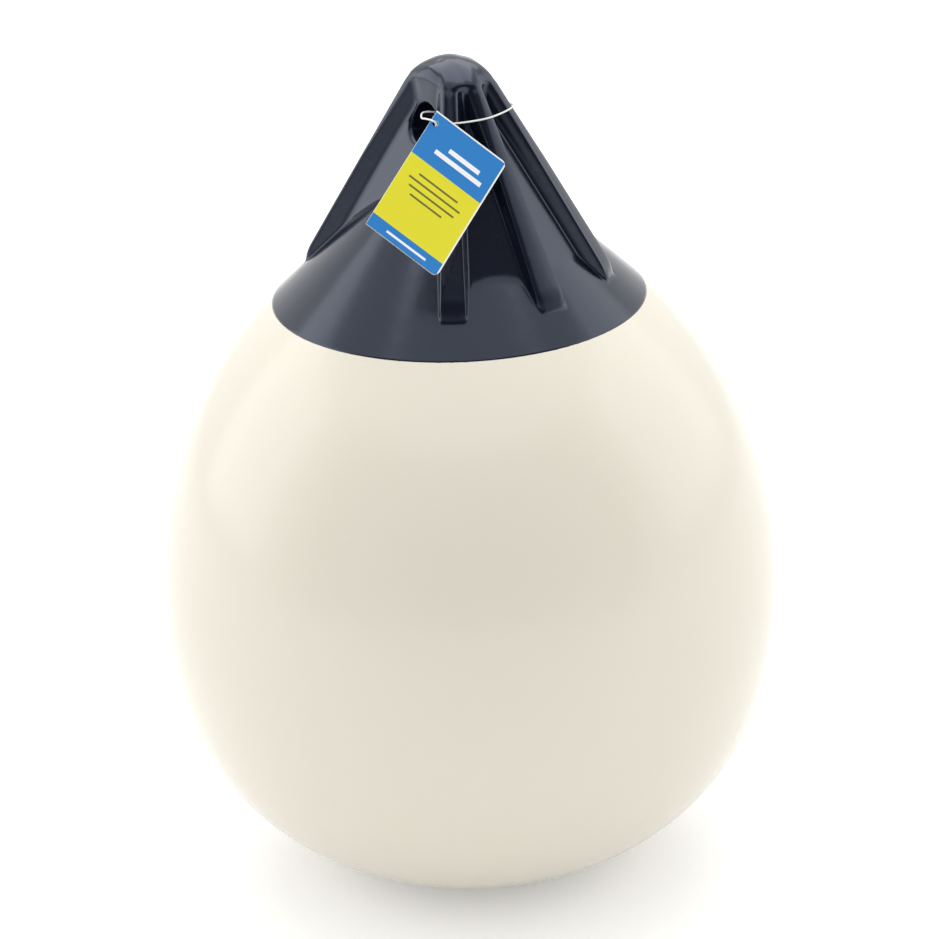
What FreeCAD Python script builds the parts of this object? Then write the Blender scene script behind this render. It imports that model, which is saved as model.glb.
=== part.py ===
import FreeCAD, Part
import os
import Sketcher
from FreeCAD import Vector
from math import atan2, cos, hypot, pi, sqrt, tan

# Inflatable mooring buoy, in millimetres. It stands on its lowest point, with its axis along Z.
# The rope eye runs along Y, and three ribs stand on each side of it, towards +X and -X.

doc = FreeCAD.newDocument("mooring_buoy")

# Driving sizes: every length in millimetres and every angle in degrees
SIZES = {
    # white float body
    "beltRadius": 216.0,
    "beltHeight": 208.3,
    "sideArcRadius": 289.0,
    "bilgeArcRadius": 171.0,
    "bottomArcRadius": 351.0,
    "footRadius": 30.0,
    "skinWall": 3.2,
    "joggleAngle": 3.0,
    # skirt of the head
    "skirtAngle": 44.0,
    "skirtWall": 5.0,
    "crownUndersideRadius": 84.0,
    # crown and ribs: the crown's top stands above the point where the skirt's slopes would meet,
    # and the ribs' faces run from the dome down to the skirt, a little in from its ring
    "crownRise": 44.44,
    "domeRadius": 36.0,
    "ribRunout": 17.05,
    "ribEndSetback": 2.2,
    "channelDepth": 7.7,
    "channelRunout": 10.0,
    "sideRibAngle": 37.2,
    "sideRibTopWidth": 12.4,
    "sideRibEndWidth": 14.4,
    "midRibTopWidth": 11.0,
    "midRibEndWidth": 20.0,
    "ribTopReach": 20.0,
    "ribDraft": 9.0,
    "ribShoulder": 1.6,
    "ribBevel": 45.0,
    "ribDepth": 26.0,
    "ribBlank": 1.5,
    # web that carries the rope eye: its knee and its eye hang down from the crown's top
    "webHalfThickness": 20.7,
    "kneeDrop": 29.0,
    "webDraft": 20.8,
    "kneeRadius": 30.0,
    "eyeRadius": 14.0,
    "eyeDrop": 40.0,
    "eyeLip": 4.0,
    # inflation valve, let into the skirt on the side away from the ribs, in from the skirt's ring
    "valveSetback": 35.75,
    "valveGap": 0.15,
    "flangeRadius": 14.0,
    "flangeHeight": 3.2,
    "flangeSeat": 2.0,
    "barrelRadius": 9.0,
    "barrelReach": 6.0,
    "recessRadius": 7.4,
    "recessDepth": 3.0,
    "sealRadius": 6.6,
    "sealHeight": 1.5,
    "screwHeadRadius": 6.9,
    "screwHeadHeight": 2.6,
    "screwRadius": 4.0,
    "screwLength": 14.0,
    "slotWidth": 2.0,
    "slotDepth": 1.5,
    # folded card, which hangs by its corner and lies on a rib
    "cardWidth": 58.5,
    "cardHeight": 97.5,
    "cardLeaf": 0.3,
    "cardFold": 0.2,
    "cardOpening": 0.9,
    "cardCorner": 5.0,
    "cardHoleRadius": 2.2,
    "cardHoleAcross": 3.6,
    "cardHoleDown": 8.4,
    "cardTurn": -8.0,
    "cardRoll": -47.9,
    "cardAcross": -46.0,
    "cardDown": 61.1,
    "cardGap": 0.1,
    # string and its knot
    "stringDiameter": 1.2,
    "knotRadius": 1.7,
    "knotEndRadius": 1.0,
    "knotGap": 0.02,
    # how far a shape runs on inside its neighbour
    "embed": 8.0,
}


def makeSheet():
    newSheet = doc.addObject("Spreadsheet::Sheet", "Sizes")
    for row, (name, value) in enumerate(SIZES.items(), start=1):
        newSheet.set("A%d" % row, name)
        newSheet.set("B%d" % row, repr(value))
        newSheet.setAlias("B%d" % row, name)
    doc.recompute()
    return newSheet


sheet = makeSheet()
TOUCH = 0.01    # two places closer than this are the same place
VOLUME_SLACK = 0.01    # how far a tube's volume may lie from its section times its length, as a share


def number(expression):
    """The value that an expression of the sheet's sizes has now."""
    value = sheet.evalExpression(expression)
    return float(getattr(value, "Value", value))


# Derived places, as expressions of the sheet's sizes
RING_R = "(Sizes.beltRadius - Sizes.sideArcRadius * (1 - sin(Sizes.skirtAngle)))"
RING_Z = "(Sizes.beltHeight + Sizes.sideArcRadius * cos(Sizes.skirtAngle))"


def underSkirt(depth, back="0"):
    """The ring's point moved in through the skirt by a depth, and back up the cone."""
    radius = "(%s - (%s) * sin(Sizes.skirtAngle) - (%s) * cos(Sizes.skirtAngle))" % (RING_R, depth, back)
    height = "(%s - (%s) * cos(Sizes.skirtAngle) + (%s) * sin(Sizes.skirtAngle))" % (RING_Z, depth, back)
    return radius, height


def coneApex(depth):
    """Height of the apex of the cone that lies a depth under the skirt's face."""
    return "(%s + %s * tan(Sizes.skirtAngle) - (%s) / cos(Sizes.skirtAngle))" % (RING_Z, RING_R, depth)


APEX_Z = coneApex("0")
TOP_Z = "(%s + Sizes.crownRise)" % APEX_Z
DOME_Z = "(%s - Sizes.domeRadius)" % TOP_Z
KNEE_Z = "(%s - Sizes.kneeDrop)" % TOP_Z
EYE_Z = "(%s - Sizes.eyeDrop)" % TOP_Z
# The ribs' faces lean so that they touch the dome and meet the skirt at the runout
RUNOUT_R = "(%s - Sizes.ribRunout)" % RING_R
RUNOUT_DROP = "(Sizes.crownRise - Sizes.domeRadius + %s * tan(Sizes.skirtAngle))" % RUNOUT_R
RIB_ANGLE = ("((atan(%s / %s) - asin(Sizes.domeRadius / sqrt(%s ^ 2 + %s ^ 2))) / 1deg)"
             % (RUNOUT_R, RUNOUT_DROP, RUNOUT_R, RUNOUT_DROP))


def onRib(out, along):
    """Radius and height of a point of the rib's side view, out from the rib's line and up along it."""
    radius = "((Sizes.domeRadius + %s) * cos(%s) - (%s) * sin(%s))" % (out, RIB_ANGLE, along, RIB_ANGLE)
    height = ("(%s + (Sizes.domeRadius + %s) * sin(%s) + (%s) * cos(%s))"
              % (DOME_Z, out, RIB_ANGLE, along, RIB_ANGLE))
    return radius, height


# The valve's own axes: on the skirt's face, with Z square to it, out of the wall
VALVE_R = "(%s - Sizes.valveSetback)" % RING_R
VALVE_PLACE = ("placement(vector(0; %s; %s - %s * tan(Sizes.skirtAngle)); rotation(vector(1; 0; 0);"
               " -Sizes.skirtAngle))" % (VALVE_R, APEX_Z, VALVE_R))
THROUGH_WALLS = "(Sizes.skirtWall + Sizes.skinWall + Sizes.embed)"


def originPlane(body, role):
    return next(feature for feature in body.Origin.OriginFeatures if feature.Role == role)


def arcBetween(start, end, radius, turn):
    """The arc from start to end that turns left (+1) or right (-1), less than half a circle."""
    chord = end - start
    rise = sqrt(radius ** 2 - chord.Length ** 2 / 4)
    centre = (start + end) * 0.5 + Vector(-chord.y, chord.x, 0).normalize() * rise * turn
    first, last = (start, end) if turn > 0 else (end, start)
    angles = [atan2((p - centre).y, (p - centre).x) for p in (first, last)]
    return Part.ArcOfCircle(Part.Circle(centre, Vector(0, 0, 1), radius), angles[0], angles[1])


def drawOutline(body, name, role, corners, offset=None, tangents=(), centres=()):
    """A closed sketch. A corner is (x, y) and, where an arc leaves it, also the radius and the turn.

    The corners listed in tangents are only places to start from: the two edges meet there smoothly.
    """
    sketch = body.newObject("Sketcher::SketchObject", name)
    sketch.AttachmentSupport = [(originPlane(body, role), "")]
    sketch.MapMode = "FlatFace"
    if offset:
        sketch.setExpression("AttachmentOffset", offset)
    places = [Vector(number(corner[0]), number(corner[1]), 0) for corner in corners]
    ends = []
    for index, corner in enumerate(corners):
        start, end = places[index], places[(index + 1) % len(corners)]
        if len(corner) == 2:
            ends.append((sketch.addGeometry(Part.LineSegment(start, end)), 1, 2))
            continue
        radius, turn = corner[2:]
        edge = sketch.addGeometry(arcBetween(start, end, number(radius), turn))
        ends.append((edge, 1, 2) if turn > 0 else (edge, 2, 1))
        rule = sketch.addConstraint(Sketcher.Constraint("Radius", edge, number(radius)))
        sketch.setExpression("Constraints[%d]" % rule, radius)

    def pin(edge, point, axis, kind, expression):
        if expression == "0":
            sketch.addConstraint(Sketcher.Constraint("PointOnObject", edge, point, axis))
            return
        rule = sketch.addConstraint(Sketcher.Constraint(kind, -1, 1, edge, point, number(expression)))
        sketch.setExpression("Constraints[%d]" % rule, expression)

    for index, corner in enumerate(corners):
        edge, start, _ = ends[index]
        before, _, last = ends[index - 1]
        if index in tangents:
            sketch.addConstraint(Sketcher.Constraint("Tangent", before, last, edge, start))
            continue
        sketch.addConstraint(Sketcher.Constraint("Coincident", before, last, edge, start))
        pin(edge, start, -2, "DistanceX", corner[0])
        pin(edge, start, -1, "DistanceY", corner[1])
    for index, axis, kind, expression in centres:
        pin(ends[index][0], 3, axis, kind, expression)
    return sketch


def revolve(body, kind, name, sketch):
    """A Revolution or a Groove of a sketch, all the way round the Z axis."""
    feature = body.newObject("PartDesign::" + kind, name)
    feature.Profile = sketch
    feature.ReferenceAxis = (sketch, ["V_Axis"])
    feature.Angle = 360
    return feature


def drawCircle(body, name, role, height, radius, offset=None):
    """A circle in a sketch, centred across, at a height above the sketch's origin."""
    sketch = body.newObject("Sketcher::SketchObject", name)
    sketch.AttachmentSupport = [(originPlane(body, role), "")]
    sketch.MapMode = "FlatFace"
    if offset:
        sketch.setExpression("AttachmentOffset", offset)
    ring = sketch.addGeometry(Part.Circle(Vector(0, number(height), 0), Vector(0, 0, 1), number(radius)))
    sketch.addConstraint(Sketcher.Constraint("PointOnObject", ring, 3, -2))
    if height == "0":
        sketch.addConstraint(Sketcher.Constraint("PointOnObject", ring, 3, -1))
    else:
        rule = sketch.addConstraint(Sketcher.Constraint("DistanceY", -1, 1, ring, 3, number(height)))
        sketch.setExpression("Constraints[%d]" % rule, height)
    rule = sketch.addConstraint(Sketcher.Constraint("Radius", ring, number(radius)))
    sketch.setExpression("Constraints[%d]" % rule, radius)
    return sketch


def sinkCircle(body, name, place, radius, depth):
    """A round hole of a depth, sunk from a place whose Z points out of the solid."""
    hole = body.newObject("PartDesign::Pocket", name)
    hole.Profile = drawCircle(body, name + "Circle", "XY_Plane", "0", radius, place)
    hole.setExpression("Length", depth)
    doc.recompute()
    return hole


def floatJoints(wall):
    """Where the bottom, bilge and side arcs of the float meet, set in by a wall: the sketch starts there."""
    bottom, bilge, side = (SIZES[key] for key in ("bottomArcRadius", "bilgeArcRadius", "sideArcRadius"))
    bottomZ = sqrt(bottom ** 2 - SIZES["footRadius"] ** 2)
    sideX, sideZ = SIZES["beltRadius"] - side, SIZES["beltHeight"]
    span = hypot(sideX, bottomZ - sideZ)
    reach = ((bottom - bilge) ** 2 + span ** 2 - (side - bilge) ** 2) / (2 * span)
    across = sqrt((bottom - bilge) ** 2 - reach ** 2)
    bilgeX = (sideX * reach + (bottomZ - sideZ) * across) / span
    bilgeZ = bottomZ + (sideX * across - (bottomZ - sideZ) * reach) / span
    low = (bottom - wall) / (bottom - bilge)
    high = (side - wall) / (side - bilge)
    return ((bilgeX * low, bottomZ + (bilgeZ - bottomZ) * low),
            (sideX + (bilgeX - sideX) * high, sideZ + (bilgeZ - sideZ) * high))


def crownCorners(depth):
    """From the cone under the skirt over the crown to the axis: the last straight end, then the arc's end."""
    radius = "(Sizes.crownUndersideRadius - (%s - Sizes.skirtWall))" % depth
    middle = "(%s - Sizes.crownUndersideRadius / cos(Sizes.skirtAngle))" % coneApex("Sizes.skirtWall")
    return [("(%s * sin(Sizes.skirtAngle))" % radius, "(%s + %s * cos(Sizes.skirtAngle))" % (middle, radius),
             radius, 1),
            ("0", "(%s + %s)" % (middle, radius))]


def drawFloatSection(body, name, wall, upper):
    """Half section of the float: the flat foot, three tangent arcs up from it, then the corners given."""
    low, high = floatJoints(number(wall))
    footEdge = ("sqrt((Sizes.bottomArcRadius - %s) ^ 2"
                " - (sqrt(Sizes.bottomArcRadius ^ 2 - Sizes.footRadius ^ 2) - %s) ^ 2)" % (wall, wall))
    corners = [("0", wall),
               (footEdge, wall, "(Sizes.bottomArcRadius - %s)" % wall, 1),
               (repr(low[0]), repr(low[1]), "(Sizes.bilgeArcRadius - %s)" % wall, 1),
               (repr(high[0]), repr(high[1]), "(Sizes.sideArcRadius - %s)" % wall, 1)]
    return drawOutline(body, name, "XZ_Plane", corners + upper, tangents=(2, 3),
                       centres=((1, -2, "DistanceX", "0"), (3, -1, "DistanceY", "Sizes.beltHeight")))


def makeFloat():
    """The skin, closed under the head: it steps in at the ring to seat the skirt flush."""
    body = doc.addObject("PartDesign::Body", "float_body")
    outer = drawFloatSection(body, "skinOutside", "0", [(RING_R, RING_Z), underSkirt("Sizes.skirtWall")]
                             + crownCorners("Sizes.skirtWall"))
    revolve(body, "Revolution", "skin", outer)
    inward = "(Sizes.skirtWall + Sizes.skinWall)"
    # the air side follows the step a little below the ring, so the wall never gets thin there
    turn = "(90 - Sizes.skirtAngle - Sizes.joggleAngle)"
    reach = "(Sizes.sideArcRadius - Sizes.skinWall)"
    joggle = ("(Sizes.beltRadius - Sizes.sideArcRadius + %s * cos(%s))" % (reach, turn),
              "(Sizes.beltHeight + %s * sin(%s))" % (reach, turn))
    inner = drawFloatSection(body, "skinInside", "Sizes.skinWall", [joggle, underSkirt(inward)]
                             + crownCorners(inward))
    revolve(body, "Groove", "air", inner)
    doc.recompute()
    sinkCircle(body, "skinValveHole", VALVE_PLACE, "Sizes.barrelRadius + Sizes.valveGap", THROUGH_WALLS)
    return body


def drawRib(body, name, angle, topWidth, endWidth):
    """Front view of a rib, on the plane where its shoulders start, turned round the axis by an angle."""
    out, up = onRib("-Sizes.ribShoulder", "0")
    offset = ("placement(vector(%s * sin(%s); %s; %s * cos(%s)); rotation(vector(0; 1; 0); %s)"
              " * rotation(vector(1; 0; 0); -%s))" % (out, angle, up, out, angle, angle, RIB_ANGLE))
    end = ("((Sizes.domeRadius * cos(%s) - %s + Sizes.ribEndSetback) / sin(%s))"
           % (RIB_ANGLE, RUNOUT_R, RIB_ANGLE))
    half = "(%s / 2)"
    corners = [("-" + half % endWidth, end), (half % endWidth, end),
               (half % topWidth, "Sizes.ribTopReach"), ("-" + half % topWidth, "Sizes.ribTopReach")]
    return drawOutline(body, name, "YZ_Plane", corners, offset=offset)


def makeRibs(body, name, sketch, planes):
    """A rib with drafted walls and bevelled shoulders, and its mirror images."""
    walls = body.newObject("PartDesign::Pad", name + "Walls")
    walls.Profile = sketch
    walls.Reversed = True
    walls.setExpression("Length", "Sizes.ribDepth")
    walls.setExpression("TaperAngle", "Sizes.ribDraft")
    shoulders = body.newObject("PartDesign::Pad", name + "Shoulders")
    shoulders.Profile = sketch
    shoulders.setExpression("Length", "Sizes.ribShoulder + Sizes.ribBlank")
    shoulders.setExpression("TaperAngle", "-Sizes.ribBevel")
    doc.recompute()
    pattern = body.newObject("PartDesign::MultiTransform", name + "Set")
    pattern.Originals = [walls, shoulders]
    mirrors = []
    for plane in planes:
        mirror = body.newObject("PartDesign::Mirrored", name + plane[:2])
        mirror.MirrorPlane = (originPlane(body, plane), [""])
        mirrors.append(mirror)
    pattern.Transformations = mirrors
    body.Tip = pattern
    doc.recompute()
    return pattern


def numberedEdges(body):
    """The edges of a body as it stands, each with the name that a fillet asks for."""
    return [("Edge%d" % index, edge) for index, edge in enumerate(body.Tip.Shape.Edges, start=1)]


def surfaces(body, named):
    """The kinds of the faces that meet at an edge."""
    faces = body.Tip.Shape.ancestorsOfType(named[1], Part.Face)
    return sorted(type(face.Surface).__name__ for face in faces)


def liesAt(named, height):
    """Whether a straight edge lies level at a height."""
    box = named[1].BoundBox
    level = number(height)
    return abs(box.ZMin - level) < TOUCH and abs(box.ZMax - level) < TOUCH and box.XLength > TOUCH


def soften(body, name, radius, named):
    fillet = body.newObject("PartDesign::Fillet", name)
    fillet.Base = (fillet.BaseFeature or body.Tip, [edge[0] for edge in named])
    fillet.setExpression("Radius", radius)
    doc.recompute()
    return fillet


def makeHead():
    """Crown, web, ribs and skirt, moulded as one."""
    body = doc.addObject("PartDesign::Body", "rope_eye_head")
    # the crown: the channels' floor is a cone, which curves out on to the dome at its upper end
    floorTop = onRib("-Sizes.channelDepth", "0")
    reach = "(Sizes.domeRadius - Sizes.channelDepth + Sizes.channelRunout)"
    leave = ("(%s + acos((Sizes.domeRadius ^ 2 + %s ^ 2 - Sizes.channelRunout ^ 2)"
             " / (2 * Sizes.domeRadius * %s)) / 1deg)" % (RIB_ANGLE, reach, reach))
    exitR = "(Sizes.domeRadius * cos(%s))" % leave
    exitZ = "(%s + Sizes.domeRadius * sin(%s))" % (DOME_Z, leave)
    lean = "tan(%s)" % RIB_ANGLE
    footR = ("((%s + (%s - %s) * %s) / (1 - tan(Sizes.skirtAngle) * %s) + Sizes.embed * sin(%s))"
             % (floorTop[0], floorTop[1], APEX_Z, lean, lean, RIB_ANGLE))
    footZ = "(%s - (%s - %s) / %s)" % (floorTop[1], footR, floorTop[0], lean)
    crown = drawOutline(body, "crownSection", "XZ_Plane", [
        ("0", footZ), (footR, footZ), floorTop + ("Sizes.channelRunout", -1),
        (exitR, exitZ, "Sizes.domeRadius", 1), ("0", TOP_Z)])
    revolve(body, "Revolution", "crown", crown)
    # the web: both sides are cut away outside two planes that lean apart below the knee
    lowHalf = "(Sizes.webHalfThickness + (%s - %s) * tan(Sizes.webDraft))" % (KNEE_Z, RING_Z)
    far = "Sizes.beltRadius"
    for name, sign in (("webBack", ""), ("webFront", "-")):
        side = drawOutline(body, name + "Side", "YZ_Plane", [
            (sign + lowHalf, RING_Z), (sign + far, RING_Z), (sign + far, TOP_Z),
            (sign + "Sizes.webHalfThickness", TOP_Z), (sign + "Sizes.webHalfThickness", KNEE_Z)])
        cut = body.newObject("PartDesign::Pocket", name)
        cut.Profile = side
        cut.Type = "ThroughAll"
        cut.Midplane = True
    doc.recompute()
    makeRibs(body, "midRib", drawRib(body, "midRibFront", "0", "Sizes.midRibTopWidth",
                                     "Sizes.midRibEndWidth"), ["YZ_Plane"])
    makeRibs(body, "sideRib", drawRib(body, "sideRibFront", "Sizes.sideRibAngle", "Sizes.sideRibTopWidth",
                                      "Sizes.sideRibEndWidth"), ["XZ_Plane", "YZ_Plane"])
    # everything outside the dome and the cone of the ribs' outer faces goes
    ribTop = onRib("0", "0")
    ribFoot = onRib("0", "-" + RING_R)
    above = "(%s + Sizes.domeRadius)" % TOP_Z
    outside = drawOutline(body, "ribConeOutside", "XZ_Plane", [
        ribFoot, ("Sizes.beltRadius", ribFoot[1]), ("Sizes.beltRadius", above), ("0", above),
        ("0", TOP_Z, "Sizes.domeRadius", -1), ribTop])
    revolve(body, "Groove", "ribCone", outside)
    doc.recompute()
    # the skirt, first as a solid cone up to inside the crown, then hollowed to seat on the skin
    inner = underSkirt("Sizes.skirtWall")
    capR = "Sizes.webHalfThickness"
    capZ = "(%s - %s * tan(Sizes.skirtAngle))" % (APEX_Z, capR)
    skirt = drawOutline(body, "skirtSection", "XZ_Plane", [
        ("0", inner[1]), inner, (RING_R, RING_Z), (capR, capZ), ("0", capZ)])
    revolve(body, "Revolution", "skirt", skirt)
    doc.recompute()
    hollow = drawOutline(body, "hollowSection", "XZ_Plane", [
        ("0", "(%s - Sizes.embed)" % inner[1]), (inner[0], "(%s - Sizes.embed)" % inner[1]), inner]
        + crownCorners("Sizes.skirtWall"))
    revolve(body, "Groove", "hollow", hollow)
    doc.recompute()
    # the knee of the web is a soft bend, and the eye has a round lip
    soften(body, "webKnee", "Sizes.kneeRadius", [
        edge for edge in numberedEdges(body) if liesAt(edge, KNEE_Z)])
    eye = body.newObject("PartDesign::Pocket", "eye")
    eye.Profile = drawCircle(body, "eyeCircle", "XZ_Plane", EYE_Z, "Sizes.eyeRadius")
    eye.Type = "ThroughAll"
    eye.Midplane = True
    doc.recompute()
    soften(body, "eyeLipRound", "Sizes.eyeLip", [
        edge for edge in numberedEdges(body)
        if "Cylinder" in surfaces(body, edge) and edge[1].BoundBox.XLength > number("Sizes.eyeRadius")])
    # the bush of the valve is let into the skirt
    counterbore = "Sizes.flangeRadius + Sizes.valveGap"
    sinkCircle(body, "valveCounterbore", VALVE_PLACE, counterbore, "Sizes.flangeSeat")
    sinkCircle(body, "valveHole", VALVE_PLACE, "Sizes.barrelRadius + Sizes.valveGap", THROUGH_WALLS)
    return body


def turnedPiece(name, corners):
    """A round piece of the valve, from its half section in the valve's own axes."""
    body = doc.addObject("PartDesign::Body", name)
    body.setExpression("Placement", VALVE_PLACE)
    section = drawOutline(body, name + "Section", "XZ_Plane", corners)
    revolve(body, "Revolution", name + "Turned", section)
    return body


def makeValve():
    """Bush, seal ring and slotted screw."""
    rise = "(Sizes.flangeHeight - Sizes.flangeSeat)"
    floor = "(%s - Sizes.recessDepth)" % rise
    headFoot = "(%s + Sizes.sealHeight)" % floor
    headTop = "(%s + Sizes.screwHeadHeight)" % headFoot
    bore = "(Sizes.screwRadius + Sizes.valveGap)"
    foot = "(-(Sizes.skirtWall + Sizes.skinWall + Sizes.barrelReach))"
    seat = turnedPiece("valve_seat", [
        (bore, foot), ("Sizes.barrelRadius", foot), ("Sizes.barrelRadius", "(-Sizes.flangeSeat)"),
        ("Sizes.flangeRadius", "(-Sizes.flangeSeat)"), ("Sizes.flangeRadius", "0"),
        ("(Sizes.flangeRadius - %s)" % rise, rise), ("Sizes.recessRadius", rise),
        ("Sizes.recessRadius", floor), (bore, floor)])
    ring = turnedPiece("valve_seal_ring", [
        (bore, floor), ("Sizes.sealRadius", floor), ("Sizes.sealRadius", headFoot), (bore, headFoot)])
    screwEnd = "(%s - Sizes.screwLength)" % headFoot
    screw = turnedPiece("valve_screw", [
        ("0", screwEnd), ("Sizes.screwRadius", screwEnd), ("Sizes.screwRadius", headFoot),
        ("Sizes.screwHeadRadius", headFoot), ("Sizes.screwHeadRadius", headTop), ("0", headTop)])
    half = "(Sizes.slotWidth / 2)"
    low = "(%s - Sizes.slotDepth)" % headTop
    slot = drawOutline(screw, "screwSlotFront", "XZ_Plane", [
        ("-" + half, low), (half, low), (half, "(%s + %s)" % (headTop, half)),
        ("-" + half, "(%s + %s)" % (headTop, half))])
    cut = screw.newObject("PartDesign::Pocket", "screwSlot")
    cut.Profile = slot
    cut.Midplane = True
    cut.setExpression("Length", "2 * Sizes.screwHeadRadius")
    return [seat, ring, screw]


def makeCard():
    """Two leaves joined by the fold at the left, rounded at the free side and punched by the fold."""
    body = doc.addObject("PartDesign::Body", "tag_card")
    radius, height = onRib("Sizes.cardGap", "-Sizes.cardDown")
    body.setExpression("Placement", (
        "placement(vector(%s * cos(Sizes.cardTurn) - Sizes.cardAcross * sin(Sizes.cardTurn);"
        " %s * sin(Sizes.cardTurn) + Sizes.cardAcross * cos(Sizes.cardTurn); %s);"
        " rotation(vector(0; 0; 1); 90 + Sizes.cardTurn) * rotation(vector(1; 0; 0); 90 - %s)"
        " * rotation(vector(0; 0; 1); Sizes.cardRoll))") % (radius, radius, height, RIB_ANGLE))
    outer = "(Sizes.cardLeaf + Sizes.cardFold / 2)"
    inner = "(Sizes.cardFold / 2)"
    fold = "(%s - Sizes.cardWidth / 2)" % outer
    free = "(Sizes.cardWidth / 2)"
    backFace = "Sizes.cardLeaf"
    frontFace = "(Sizes.cardLeaf + Sizes.cardFold)"
    front = "(2 * Sizes.cardLeaf + Sizes.cardFold)"
    section = drawOutline(body, "cardSection", "XZ_Plane", [
        (fold, "0"), (free, "0"), (free, backFace), (fold, backFace, inner, -1),
        ("(%s - %s)" % (fold, inner), outer, inner, -1), (fold, frontFace),
        (free, "(%s + Sizes.cardOpening)" % frontFace), (free, "(%s + Sizes.cardOpening)" % front),
        (fold, front, outer, 1), ("(-Sizes.cardWidth / 2)", outer, outer, 1)])
    leaves = body.newObject("PartDesign::Pad", "leaves")
    leaves.Profile = section
    leaves.Midplane = True
    leaves.setExpression("Length", "Sizes.cardHeight")
    doc.recompute()
    reach = number("Sizes.cardWidth") / 2
    soften(body, "cardCorners", "Sizes.cardCorner", [
        edge for edge in numberedEdges(body)
        if abs(edge[1].BoundBox.XMin - reach) < TOUCH and edge[1].BoundBox.YLength < TOUCH])
    clear = "(%s + Sizes.cardOpening)" % front
    hole = ("placement(vector(Sizes.cardHoleAcross - Sizes.cardWidth / 2; Sizes.cardHeight / 2"
            " - Sizes.cardHoleDown; %s); rotation(vector(0; 0; 1); 0))" % clear)
    sinkCircle(body, "cardHole", hole, "Sizes.cardHoleRadius", clear)
    return body


# The string starts at the knot, behind the head's +X leg. It runs forward through the eye, round the card's
# fold, in at the card's hole from the front, and back over the three ribs to the knot.
STRING_POINTS = [
    (16.4, 29.6, 550.9), (11.8, 27.2, 550.7), (7.8, 18.6, 550.4), (6.4, 5.0, 550.8),
    (5.6, -9.5, 551.8), (2.2, -20.0, 552.0), (1.2, -28.6, 551.2), (8.8, -34.2, 552.0),
    (17.6, -38.0, 553.2), (26.0, -41.6, 557.0), (32.2, -42.2, 558.7), (36.2, -39.1, 555.5),
    (31.5, -36.2, 552.2), (35.2, -25.4, 551.2), (40.6, -16.6, 551.8), (43.9, -3.6, 552.8),
    (43.0, 9.4, 553.2), (39.8, 21.8, 552.9), (34.0, 30.6, 552.3), (25.5, 34.2, 551.4),
    (20.9, 31.9, 551.2)]
BEND_SHARE = 0.45    # how far each bend reaches into the shorter of its two runs


def cordPath(points):
    """Straight runs joined by tangent arcs, and the arcs' radii."""
    places = [Vector(*point) for point in points]
    edges = []
    radii = []
    start = places[0]
    for before, corner, after in zip(places, places[1:], places[2:]):
        inward, outward = corner - before, after - corner
        reach = BEND_SHARE * min(inward.Length, outward.Length)
        turn = inward.getAngle(outward)
        radius = reach / tan(turn / 2)
        inward.normalize()
        outward.normalize()
        arcStart = corner - inward * reach
        arcEnd = corner + outward * reach
        towards = (outward - inward).normalize()
        middle = corner + towards * (radius / cos(turn / 2) - radius)
        edges.append(Part.LineSegment(start, arcStart).toShape())
        edges.append(Part.Arc(arcStart, middle, arcEnd).toShape())
        radii.append(round(radius, 1))
        start = arcEnd
    edges.append(Part.LineSegment(start, places[-1]).toShape())
    return Part.Wire(edges), radii


def makeString():
    path, radii = cordPath(STRING_POINTS)
    radius = number("Sizes.stringDiameter") / 2
    start, heading = (Vector(*STRING_POINTS[0]), Vector(*STRING_POINTS[1]) - Vector(*STRING_POINTS[0]))
    ring = Part.Wire(Part.makeCircle(radius, start, heading))
    string = doc.addObject("Part::Feature", "tag_string")
    string.Shape = path.makePipeShell([ring], True, False)
    expected = pi * radius ** 2 * path.Length
    print("string: length %.1f, bend radii %s, volume %.2f of %.2f"
          % (path.Length, radii, string.Shape.Volume, expected))
    if abs(string.Shape.Volume / expected - 1) > VOLUME_SLACK:
        raise ValueError("the string's tube does not have its section times its length")
    return string


def makeKnot():
    """A barrel between the string's two ends."""
    body = doc.addObject("PartDesign::Body", "string_knot")
    start, end = Vector(*STRING_POINTS[0]), Vector(*STRING_POINTS[-1])
    body.Placement = FreeCAD.Placement((start + end) * 0.5, FreeCAD.Rotation(Vector(0, 0, 1), end - start))
    half = "(%r - Sizes.knotGap)" % round((end - start).Length / 2, 3)
    bulge = "((%s ^ 2 + (Sizes.knotRadius - Sizes.knotEndRadius) ^ 2)" % half
    bulge += " / (2 * (Sizes.knotRadius - Sizes.knotEndRadius)))"
    section = drawOutline(body, "knotSection", "XZ_Plane", [
        ("0", "(-%s)" % half), ("Sizes.knotEndRadius", "(-%s)" % half, bulge, 1),
        ("Sizes.knotEndRadius", half), ("0", half)])
    revolve(body, "Revolution", "knotBarrel", section)
    return body


floatBody = makeFloat()
head = makeHead()
nodes = [floatBody, head] + makeValve() + [makeCard(), makeString(), makeKnot()]
doc.recompute()
for thing in doc.Objects:
    if "Invalid" in thing.State or "Error" in thing.State:
        raise ValueError("%s failed: %s" % (thing.Name, thing.State))
for node in nodes:
    if node.Shape.isNull() or not node.Shape.isValid():
        raise ValueError("%s has no valid shape" % node.Label)
    print("%s: %d solid, %.0f mm3" % (node.Label, len(node.Shape.Solids), node.Shape.Volume))
os.makedirs("parts", exist_ok=True)
for node in nodes:
    node.Shape.exportStep("parts/%s.step" % node.Label)
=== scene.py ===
from math import cos, pi, radians, sin, tan

import bpy
import numpy as np
from mathutils import Matrix, Vector


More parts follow.
